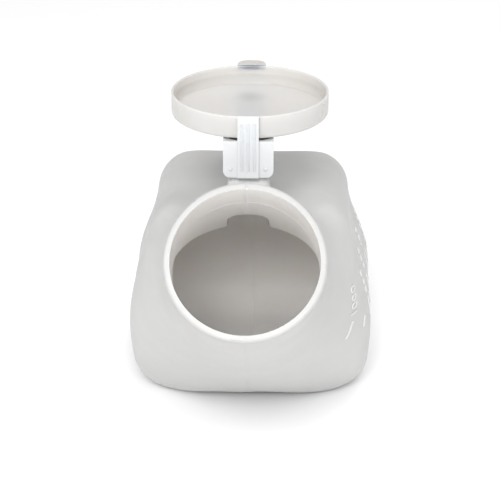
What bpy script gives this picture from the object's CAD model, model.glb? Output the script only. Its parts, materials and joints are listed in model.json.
import json
from math import cos, pi, radians, sin

import bpy
from mathutils import Matrix, Vector


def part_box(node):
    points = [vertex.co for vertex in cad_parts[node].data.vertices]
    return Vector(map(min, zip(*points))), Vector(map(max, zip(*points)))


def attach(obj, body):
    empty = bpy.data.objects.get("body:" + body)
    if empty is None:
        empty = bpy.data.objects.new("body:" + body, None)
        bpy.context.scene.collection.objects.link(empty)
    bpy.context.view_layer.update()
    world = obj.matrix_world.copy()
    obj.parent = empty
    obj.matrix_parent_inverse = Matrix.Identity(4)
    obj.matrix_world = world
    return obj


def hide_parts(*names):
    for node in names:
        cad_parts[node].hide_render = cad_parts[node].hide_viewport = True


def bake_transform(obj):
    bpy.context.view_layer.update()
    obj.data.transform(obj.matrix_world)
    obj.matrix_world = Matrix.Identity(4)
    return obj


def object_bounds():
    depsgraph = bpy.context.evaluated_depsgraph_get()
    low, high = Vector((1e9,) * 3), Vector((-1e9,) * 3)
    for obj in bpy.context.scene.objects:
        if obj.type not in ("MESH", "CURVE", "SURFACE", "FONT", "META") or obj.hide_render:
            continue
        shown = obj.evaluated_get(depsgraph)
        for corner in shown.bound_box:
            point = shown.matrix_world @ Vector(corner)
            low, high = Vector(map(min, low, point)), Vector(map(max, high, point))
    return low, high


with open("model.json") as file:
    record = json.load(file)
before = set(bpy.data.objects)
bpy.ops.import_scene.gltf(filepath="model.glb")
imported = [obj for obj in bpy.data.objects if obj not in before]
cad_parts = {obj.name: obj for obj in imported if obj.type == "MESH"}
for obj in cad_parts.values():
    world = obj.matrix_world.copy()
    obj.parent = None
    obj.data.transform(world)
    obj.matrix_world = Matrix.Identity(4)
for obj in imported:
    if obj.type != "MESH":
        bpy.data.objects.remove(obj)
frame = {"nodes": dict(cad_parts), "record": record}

# A white urine bottle that lies on its base with the mouth towards -Y. Its one-piece lid, strap and
# clip are a second moulding, clipped to the hollow handle, with the lid laid open on the handle.
# Metres, in the frame of the CAD part. mm turns a size in millimetres into metres.
cad_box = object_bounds()
mm = 0.001

joints = {joint["name"]: joint for joint in frame["record"]["behaviour"]["joints"]}
strap_hinge = Vector(joints["strap_bend"]["pos_m"])    # film hinge between clip and strap
lid_hinge = Vector(joints["lid_bend"]["pos_m"])        # film hinge between strap and lid
mouth = {mount["name"]: mount for mount in frame["record"]["mounts"]}["mouth"]
mouth_axis = Vector(mouth["axis"]).normalized()
bore = mouth["dims"]["r_mm"] * mm
mouth_centre = Vector(mouth["pos_m"]) + mouth_axis * mouth["dims"]["length_mm"] * mm / 2

# ---- sizes of the moulded details ---------------------------------------------------------------
seam_half_width, seam_height = 0.28 * mm, 0.12 * mm
lip_depth, lip_margin = 3.1 * mm, 0.2 * mm
neck_reach, neck_margin = 60 * mm, 0.3 * mm     # the bore's way in before it meets the ceiling
ceiling = 92.5 * mm                      # between the roof's inner and outer surfaces
body_middle = Vector((0, 20, 45)) * mm
rear_root, root_reach = Vector((0, 66.4, 86.5)) * mm, 13 * mm

lid_radius, lid_height = 31.4 * mm, 9.0 * mm
lid_wall, lid_plate = 0.95 * mm, 1.2 * mm
lid_edge, lid_inner_edge, lid_rim = 1.0 * mm, 0.7 * mm, 0.3 * mm     # roundings of its section
lid_hub = 0.5                            # share of the radius that its flat faces start from
lid_gap = 0.9 * mm                       # from the hinge line to the lid's wall
lid_rest_tilt = radians(3)
bead_drop, bead_depth, bead_half = 3.2 * mm, 0.25 * mm, 1.1 * mm
bead_land = 0.3                          # share of the snap bead's width that is flat on top
tab_size = (11.8 * mm, 7.0 * mm, 1.6 * mm)
tab_root, tab_corner, tab_ease = 1.2 * mm, 4.4 * mm, 0.4 * mm
block_thickness, block_depth, block_ease = 2.2 * mm, 0.75 * mm, 0.2 * mm

strap_size = (8.2 * mm, 1.2 * mm, 23.8 * mm)
strap_end, strap_ease = 0.98, 0.22 * mm  # rounding of its ends, as a share of half its thickness
ridge_size = (1.1 * mm, 0.36 * mm, 18.8 * mm)
ridge_pitch, ridge_rise = 2.4 * mm, 0.18 * mm
ridge_round = 0.9                        # rounding of a ridge, as a share of its rise

clip_ease = 0.28 * mm
pip_radius, pip_height = 0.75 * mm, 0.3 * mm
pip_spread, pip_rise = 6.7 * mm, 2.7 * mm

film_inset, film_root = 0.4 * mm, 0.2 * mm       # from the strap's sides and its middle plane

scale_start, scale_step = 84.4 * mm, 12.4 * mm     # y of the 100 ml tick; from tick to tick
tick_low, tick_long, tick_short, tick_width = 43 * mm, 8 * mm, 5 * mm, 0.9 * mm
tick_count, tick_value = 10, 100
figure_height, figure_low = 4.8 * mm, 53 * mm
figure_share = 0.7                       # a figure's height as a share of its type size
relief = 0.35 * mm


# ---- modelling helpers --------------------------------------------------------------------------
def deselect():
    if bpy.context.object and bpy.context.object.mode != "OBJECT":
        bpy.ops.object.mode_set(mode="OBJECT")
    bpy.ops.object.select_all(action="DESELECT")


def only(piece):
    deselect()
    piece.select_set(True)
    bpy.context.view_layer.objects.active = piece


def named(name):
    piece = bpy.context.object
    piece.name = name
    piece.data.name = name
    return piece


def edit(piece):
    only(piece)
    bpy.ops.object.mode_set(mode="EDIT")


def pick(piece, kind, test):
    """In edit mode, selects the faces, edges or vertices whose middle and direction pass a test."""
    bpy.ops.mesh.select_mode(type=kind)
    bpy.ops.mesh.select_all(action="DESELECT")
    bpy.ops.object.mode_set(mode="OBJECT")
    mesh = piece.data
    if kind == "FACE":
        for face in mesh.polygons:
            face.select = test(face.center, face.normal)
    elif kind == "EDGE":
        for edge in mesh.edges:
            a, b = (mesh.vertices[i].co for i in edge.vertices)
            edge.select = test((a + b) / 2, (b - a).normalized())
    else:
        for vertex in mesh.vertices:
            vertex.select = test(vertex.co, vertex.normal)
    bpy.ops.object.mode_set(mode="EDIT")


def settle(piece, angle=35):    # degrees
    """Applies a piece's place and modifiers, and shades it smooth where it curves."""
    only(piece)
    bpy.ops.object.transform_apply(location=True, rotation=True, scale=True)
    for modifier in list(piece.modifiers):
        bpy.ops.object.modifier_apply(modifier=modifier.name)
    bpy.ops.object.shade_smooth_by_angle(angle=radians(angle))
    return piece


def block(name, low, high):
    """A box between two corners, as a start for shaping."""
    deselect()
    low, high = Vector(low), Vector(high)
    bpy.ops.mesh.primitive_cube_add(size=1, location=(low + high) / 2)
    piece = named(name)
    piece.scale = high - low
    bpy.ops.object.transform_apply(location=True, rotation=True, scale=True)
    return piece


def round_edges(piece, width, segments, test):
    """Rounds the edges whose middle and direction pass a test."""
    edit(piece)
    pick(piece, "EDGE", test)
    bpy.ops.mesh.bevel(offset=width, segments=segments, affect="EDGES")
    bpy.ops.object.mode_set(mode="OBJECT")


def turned(name, rings, segments=144):
    """A closed round piece on the Z axis, raised ring by ring; a ring is (radius, height)."""
    deselect()
    radius, height = rings[0]
    bpy.ops.mesh.primitive_circle_add(
        vertices=segments, radius=radius, fill_type="NGON", location=(0, 0, height)
    )
    piece = named(name)
    edit(piece)
    bpy.ops.mesh.select_all(action="SELECT")
    for next_radius, next_height in rings[1:]:
        bpy.ops.mesh.extrude_region_move(
            TRANSFORM_OT_translate={"value": (0, 0, next_height - height)}
        )
        share = next_radius / radius
        bpy.ops.transform.resize(value=(share, share, 1))
        radius, height = next_radius, next_height
    bpy.ops.mesh.select_all(action="SELECT")
    bpy.ops.mesh.normals_make_consistent(inside=False)
    return settle(piece)


def merged_copy(node, name):
    """A copy of a CAD node as one merged mesh; the node itself stays as it is."""
    deselect()
    source = frame["nodes"][node]
    piece = source.copy()
    piece.data = source.data.copy()
    piece.name = name
    piece.data.name = name
    bpy.context.scene.collection.objects.link(piece)
    piece.parent = None
    piece.data.transform(source.matrix_world)
    piece.matrix_world = Matrix.Identity(4)
    only(piece)
    bpy.ops.mesh.customdata_custom_splitnormals_clear()
    edit(piece)
    bpy.ops.mesh.select_all(action="SELECT")
    bpy.ops.mesh.remove_doubles(threshold=0.002 * mm)
    return piece


def join(name, pieces):
    deselect()
    for piece in pieces:
        piece.select_set(True)
    bpy.context.view_layer.objects.active = pieces[0]
    bpy.ops.object.join()
    return named(name)


def arc(centre_radius, centre_height, size, start, stop, steps):
    """Rings along a quarter round of a turned piece's edge; angles are in degrees."""
    rings = []
    for i in range(steps + 1):
        turn = radians(start + (stop - start) * i / steps)
        rings.append((centre_radius + size * cos(turn), centre_height + size * sin(turn)))
    return rings


# ---- finishes -----------------------------------------------------------------------------------
cloud_scale, gloss_scale, ripple_scale, grain_scale = 28, 60, 45, 1400
noise_low, noise_high = 0.3, 0.7                 # the stretch of the noise that a finish uses
gloss_below, gloss_above = 0.05, 0.07            # how far the roughness strays from its own value
grain_depth, ripple_depth = 0.05 * mm, 0.6 * mm
plastic_ior = 1.5
warm_bleed = (1.0, 0.85, 0.7)                    # red travels furthest inside white plastic


def finish(name, colour, cloud, roughness, soft, soft_reach, grain, ripple, spot=None):
    """Moulded plastic: cloudy colour, uneven satin gloss, fine grain and a slow ripple.
    A spot is (centre, radius, brightness): a soft round mark in the moulding."""
    material = bpy.data.materials.new(name)
    material.use_nodes = True
    tree = material.node_tree
    shader = tree.nodes["Principled BSDF"]
    place = tree.nodes.new("ShaderNodeTexCoord").outputs["Object"]

    def noise(scale, detail):
        texture = tree.nodes.new("ShaderNodeTexNoise")
        texture.inputs["Scale"].default_value = scale
        texture.inputs["Detail"].default_value = detail
        tree.links.new(place, texture.inputs["Vector"])
        return texture.outputs["Fac"]

    def spread(source, low, high):
        span = tree.nodes.new("ShaderNodeMapRange")
        span.inputs["From Min"].default_value = noise_low
        span.inputs["From Max"].default_value = noise_high
        span.inputs["To Min"].default_value = low
        span.inputs["To Max"].default_value = high
        tree.links.new(source, span.inputs["Value"])
        return span.outputs["Result"]

    shade = tree.nodes.new("ShaderNodeHueSaturation")
    shade.inputs["Color"].default_value = (*colour, 1)
    cloudy = spread(noise(cloud_scale, 3), 1 - cloud, 1 + cloud)
    if spot:
        centre, radius, brightness = spot
        moved = tree.nodes.new("ShaderNodeMapping")
        moved.vector_type = "TEXTURE"
        moved.inputs["Location"].default_value = centre
        moved.inputs["Scale"].default_value = (radius, radius, radius)
        tree.links.new(place, moved.inputs["Vector"])
        length = tree.nodes.new("ShaderNodeVectorMath")
        length.operation = "LENGTH"
        tree.links.new(moved.outputs["Vector"], length.inputs[0])
        fade = tree.nodes.new("ShaderNodeMapRange")
        fade.interpolation_type = "SMOOTHSTEP"
        fade.inputs["To Min"].default_value = brightness
        fade.inputs["To Max"].default_value = 1
        tree.links.new(length.outputs["Value"], fade.inputs["Value"])
        marked = tree.nodes.new("ShaderNodeMath")
        marked.operation = "MULTIPLY"
        tree.links.new(cloudy, marked.inputs[0])
        tree.links.new(fade.outputs["Result"], marked.inputs[1])
        cloudy = marked.outputs["Value"]
    tree.links.new(cloudy, shade.inputs["Value"])
    tree.links.new(shade.outputs["Color"], shader.inputs["Base Color"])
    gloss = spread(noise(gloss_scale, 4), roughness - gloss_below, roughness + gloss_above)
    tree.links.new(gloss, shader.inputs["Roughness"])
    shader.inputs["IOR"].default_value = plastic_ior
    shader.inputs["Subsurface Weight"].default_value = soft
    shader.inputs["Subsurface Radius"].default_value = warm_bleed
    shader.inputs["Subsurface Scale"].default_value = soft_reach

    fine = tree.nodes.new("ShaderNodeBump")
    fine.inputs["Strength"].default_value = grain
    fine.inputs["Distance"].default_value = grain_depth
    tree.links.new(noise(grain_scale, 2), fine.inputs["Height"])
    slow = tree.nodes.new("ShaderNodeBump")
    slow.inputs["Strength"].default_value = ripple
    slow.inputs["Distance"].default_value = ripple_depth
    tree.links.new(noise(ripple_scale, 2), slow.inputs["Height"])
    tree.links.new(slow.outputs["Normal"], fine.inputs["Normal"])
    tree.links.new(fine.outputs["Normal"], shader.inputs["Normal"])
    return material


# The paler round mark is where the rear wall was pinched off, the darker where the lid rests.
gate_spot = (Vector((0, 95.5, 52)) * mm, 11 * mm, 1.14)
crown_spot = (Vector((0, 15.5, 131.5)) * mm, 9 * mm, 0.8)

bottle_plastic = finish("bottle_plastic", (0.52, 0.52, 0.516), 0.025, 0.45, 0.5, 4 * mm, 0.25, 0.1)
inside_plastic = finish(
    "inside_plastic", (0.94, 0.915, 0.89), 0.02, 0.5, 0.3, 3 * mm, 0.2, 0.12, gate_spot
)
lip_plastic = finish("lip_plastic", (0.45, 0.45, 0.445), 0.02, 0.35, 0.4, 3 * mm, 0.15, 0.08)
lid_plastic = finish(
    "lid_plastic", (0.52, 0.515, 0.51), 0.02, 0.32, 0.8, 5 * mm, 0.15, 0.05, crown_spot
)
scale_plastic = finish("scale_plastic", (0.66, 0.66, 0.655), 0.02, 0.4, 0.1, 1 * mm, 0.1, 0.05)
strap_plastic = finish("strap_plastic", (0.60, 0.61, 0.615), 0.015, 0.25, 0.25, 2 * mm, 0.15, 0.05)


def coat(piece, material):
    """Gives a piece its finish, and the material slot of the part that it belongs to."""
    piece.data.materials.clear()
    piece.data.materials.append(material)


# ---- bottle -------------------------------------------------------------------------------------
def paint_inside(piece):
    """Gives the bottle's inner surface and its lip their own finishes, face by face."""
    for face in piece.data.polygons:
        off = face.center - mouth_centre
        along = off @ mouth_axis
        across = (off - mouth_axis * along).length
        at = face.center
        at_rear_root = at.z > rear_root.z and (at.xy - rear_root.xy).length < root_reach
        faces_in = face.normal @ (at - body_middle) < 0 and at.z < ceiling and not at_rear_root
        if along > -lip_depth:
            face.material_index = 2 if across > bore + lip_margin else 1
        elif faces_in or (across < bore + neck_margin and along > -neck_reach):
            face.material_index = 1


def make_bottle():
    """The CAD shell with the parting line that the two mould halves leave, inside and outside."""
    piece = merged_copy("bottle", "bottle_shell")
    for x in (-seam_half_width, 0, seam_half_width):
        bpy.ops.mesh.select_all(action="SELECT")
        bpy.ops.mesh.bisect(plane_co=(x, 0, 0), plane_no=(1, 0, 0))
    low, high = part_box("bottle")
    margin = 2 * seam_height
    pick(
        piece,
        "VERT",
        lambda at, _: abs(at.x) < 1e-6
        and low.y + margin < at.y < high.y - margin
        and low.z + margin < at.z < high.z - margin,
    )
    bpy.ops.transform.shrink_fatten(value=seam_height)
    bpy.ops.object.mode_set(mode="OBJECT")
    settle(piece, 30)
    coat(piece, bottle_plastic)
    piece.data.materials.append(inside_plastic)
    piece.data.materials.append(lip_plastic)
    paint_inside(piece)
    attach(piece, "bottle_body")
    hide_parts("bottle")
    return piece


# ---- lid ----------------------------------------------------------------------------------------
def make_lid():
    """Shallow turned cap with its snap bead, finger tab and hinge block, laid open."""
    inner = lid_radius - lid_wall
    floor = -lid_height + lid_plate
    rings = [(lid_radius * lid_hub, -lid_height)]
    rings += arc(lid_radius - lid_edge, -lid_height + lid_edge, lid_edge, -90, 0, 5)
    rings += arc(lid_radius - lid_rim, -lid_rim, lid_rim, 0, 90, 3)
    rings += arc(inner + lid_rim, -lid_rim, lid_rim, 90, 180, 3)
    rings += [
        (inner, -bead_drop + bead_half),
        (inner - bead_depth, -bead_drop + bead_half * bead_land),
        (inner - bead_depth, -bead_drop - bead_half * bead_land),
        (inner, -bead_drop - bead_half),
    ]
    rings += arc(inner - lid_inner_edge, floor + lid_inner_edge, lid_inner_edge, 0, -90, 4)
    rings += [(inner * lid_hub, floor)]
    cap = turned("lid_cap", rings)

    width, length, thickness = tab_size
    tab = block(
        "lid_tab",
        (-width / 2, lid_radius - tab_root + tab_ease, -thickness),
        (width / 2, lid_radius + length, 0),
    )
    round_edges(tab, tab_corner, 8, lambda at, along: abs(along.z) > 0.9 and at.y > lid_radius)
    round_edges(tab, tab_ease, 3, lambda at, along: abs(along.z) < 0.1 and at.y > lid_radius)
    hinge_block = block(
        "lid_hinge_block",
        (-strap_size[0] / 2, -lid_radius, -block_thickness),
        (strap_size[0] / 2, -lid_radius + block_depth, 0),
    )
    round_edges(
        hinge_block, block_ease, 2, lambda at, along: at.y < -lid_radius + block_ease / 2
    )
    for piece in (tab, hinge_block):
        settle(piece)
    lid = join("lid_moulding", [cap, tab, hinge_block])
    centre = Matrix.Translation((0, lid_gap + lid_radius, 0))
    lid.matrix_world = (
        Matrix.Translation(lid_hinge) @ Matrix.Rotation(lid_rest_tilt, 4, "X") @ centre
    )
    settle(lid)
    coat(lid, lid_plastic)
    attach(lid, "lid_body")
    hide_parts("lid")
    return lid


# ---- strap, clip and film hinges ----------------------------------------------------------------
def make_strap():
    """Flat ridged strap between the two film hinges."""
    width, thickness, length = strap_size
    half = thickness / 2
    y, z = strap_hinge.y, strap_hinge.z
    strap = block(
        "strap_moulding",
        (-width / 2, y - half, z - half),
        (width / 2, y + half, z + length + half),
    )
    round_edges(strap, half * strap_end, 5, lambda at, along: abs(along.x) > 0.9)
    round_edges(
        strap,
        strap_ease,
        3,
        lambda at, along: abs(along.z) > 0.9 and abs(at.x) > width / 2 - strap_ease / 2,
    )
    bars = []
    bar_width, bar_depth, bar_length = ridge_size
    middle = z + length / 2
    for x in (-ridge_pitch, 0, ridge_pitch):
        bar = block(
            "strap_ridge",
            (x - bar_width / 2, y - half - ridge_rise, middle - bar_length / 2),
            (x + bar_width / 2, y - half + bar_depth, middle + bar_length / 2),
        )
        round_edges(
            bar, ridge_rise * ridge_round, 3, lambda at, along: at.y < y - half - ridge_rise / 2
        )
        bars.append(settle(bar))
    settle(strap)
    strap = join("strap_moulding", [strap] + bars)
    coat(strap, strap_plastic)
    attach(strap, "strap_body")
    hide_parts("hinge_strap")


def make_clip():
    """The channel on the handle's front leg, with its edges eased and two ejector pips."""
    clip = merged_copy("handle_clip", "clip_moulding")
    bpy.ops.mesh.dissolve_limited(angle_limit=radians(2))
    bpy.ops.object.mode_set(mode="OBJECT")
    ease = clip.modifiers.new("eased_edges", "BEVEL")
    ease.width = clip_ease
    ease.segments = 3
    ease.limit_method = "ANGLE"
    ease.angle_limit = radians(40)
    settle(clip)
    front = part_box("handle_clip")[0].y
    pips = []
    for x in (-pip_spread, pip_spread):
        deselect()
        bpy.ops.mesh.primitive_uv_sphere_add(
            segments=20,
            ring_count=10,
            radius=pip_radius,
            location=(x, front, strap_hinge.z + pip_rise),
        )
        pip = named("clip_pip")
        pip.scale = (1, pip_height / pip_radius, 1)
        pips.append(settle(pip))
    clip = join("clip_moulding", [clip] + pips)
    coat(clip, strap_plastic)
    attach(clip, "bottle_body")
    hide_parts("handle_clip")


def make_film(name, low, high):
    """Thin flexible web across a film hinge."""
    film = block(name, low, high)
    edit(film)
    bpy.ops.mesh.select_all(action="SELECT")
    bpy.ops.mesh.subdivide(number_cuts=7)
    bpy.ops.object.mode_set(mode="OBJECT")
    settle(film)
    coat(film, strap_plastic)
    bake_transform(film)


def make_films():
    """One web from the clip to the strap and one from the strap to the lid's hinge block."""
    half_width = strap_size[0] / 2 - film_inset
    half = strap_size[1] / 2
    y, z = strap_hinge.y, strap_hinge.z
    make_film(
        "film_hinge_clip",
        (-half_width, y + film_root, z - 0.2 * mm),
        (half_width, y + half + 0.55 * mm, z + 0.2 * mm),
    )
    y, z = lid_hinge.y, lid_hinge.z
    make_film(
        "film_hinge_lid",
        (-half_width, y + film_root, z - 0.35 * mm),
        (half_width, y + half + 0.6 * mm, z + 0.05 * mm),
    )


# ---- raised level scale -------------------------------------------------------------------------
def make_scale(shell):
    """Ticks and figures in low relief on the side wall, read with the bottle on its rear end."""
    out = cad_box[1].x + 5 * mm
    marks = []
    for i in range(tick_count):
        y = scale_start - i * scale_step
        length = tick_long if i % 2 else tick_short
        deselect()
        bpy.ops.mesh.primitive_plane_add(
            size=1, location=(out, y, tick_low + length / 2), rotation=(0, pi / 2, 0)
        )
        tick = named("scale_tick")
        tick.scale = (length, tick_width, 1)
        bpy.ops.object.transform_apply(location=True, rotation=True, scale=True)
        edit(tick)
        bpy.ops.mesh.subdivide(number_cuts=6)
        bpy.ops.object.mode_set(mode="OBJECT")
        marks.append(tick)
        if not i % 2:
            continue
        bpy.ops.object.select_all(action="DESELECT")
        bpy.ops.object.text_add()
        figure = bpy.context.object
        figure.data.body = str(tick_value * (i + 1))
        figure.data.size = figure_height / figure_share
        figure.data.align_y = "CENTER"
        bpy.ops.object.convert(target="MESH")
        figure = named("scale_figure")
        figure.matrix_world = Matrix(
            ((0, 0, 1, out), (0, -1, 0, y), (1, 0, 0, figure_low), (0, 0, 0, 1))
        )
        bpy.ops.object.transform_apply(location=True, rotation=True, scale=True)
        marks.append(figure)
    scale = join("level_scale", marks)
    wrap = scale.modifiers.new("on_the_wall", "SHRINKWRAP")
    wrap.target = shell
    wrap.wrap_method = "PROJECT"
    wrap.use_project_x = True
    wrap.use_negative_direction = True
    wrap.use_positive_direction = False
    thick = scale.modifiers.new("relief", "SOLIDIFY")
    thick.thickness = 2 * relief
    thick.offset = 0
    settle(scale)
    coat(scale, scale_plastic)
    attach(scale, "bottle_body")


shell = make_bottle()
make_lid()
make_strap()
make_clip()
make_films()
make_scale(shell)


# ---- floor, light and camera --------------------------------------------------------------------
room_light = 0.52


def make_stage():
    """A wide sheet of pale paper under the bottle, in an evenly lit white room."""
    deselect()
    bpy.ops.mesh.primitive_plane_add(size=8, location=(0, 0, 0))
    floor = named("studio_floor")
    material = bpy.data.materials.new("studio_paper")
    material.use_nodes = True
    shader = material.node_tree.nodes["Principled BSDF"]
    shader.inputs["Base Color"].default_value = (0.93, 0.93, 0.93, 1)
    shader.inputs["Roughness"].default_value = 0.9
    shader.inputs["Specular IOR Level"].default_value = 0.1
    floor.data.materials.append(material)

    world = bpy.data.worlds.new("studio_room")
    world.use_nodes = True
    world.node_tree.nodes["Background"].inputs["Color"].default_value = (1, 1, 1, 1)
    world.node_tree.nodes["Background"].inputs["Strength"].default_value = room_light
    bpy.context.scene.world = world


def add_light(name, place, aim, size, power):
    """A square softbox at a place, turned towards a point, with its power in watts."""
    light = bpy.data.lights.new(name, "AREA")
    light.shape = "SQUARE"
    light.size = size
    light.energy = power
    lamp = bpy.data.objects.new(name, light)
    lamp.location = place
    lamp.rotation_euler = (Vector(aim) - Vector(place)).to_track_quat("-Z", "Y").to_euler()
    bpy.context.scene.collection.objects.link(lamp)


make_stage()
add_light("front_softbox", (-0.15, -2.2, 1.7), (0, 0, 0.05), 1.2, 80)
add_light("overhead_softbox", (0.5, 0.7, 2.0), (0, 0.2, 0.0), 1.6, 12)

camera_distance = 0.5627
camera_turn, camera_height = radians(1.28), radians(21.93)
camera_focal = 112.4
off_centre = (-1.802 * mm, -4.145 * mm)          # of the mouth in the frame, right and up

level = cos(camera_height)
back = Vector((sin(camera_turn) * level, -cos(camera_turn) * level, sin(camera_height)))
right = Vector((cos(camera_turn), sin(camera_turn), 0))
up = back.cross(right)
camera = bpy.data.objects.new("camera", bpy.data.cameras.new("camera"))
camera.data.lens = camera_focal
camera.data.sensor_width = 36
camera.data.clip_start = 0.01
camera.matrix_world = Matrix.Translation(
    mouth_centre + back * camera_distance - right * off_centre[0] - up * off_centre[1]
) @ Matrix((right, up, back)).transposed().to_4x4()
bpy.context.scene.collection.objects.link(camera)
bpy.context.scene.camera = camera

bpy.context.scene.view_settings.view_transform = "Standard"
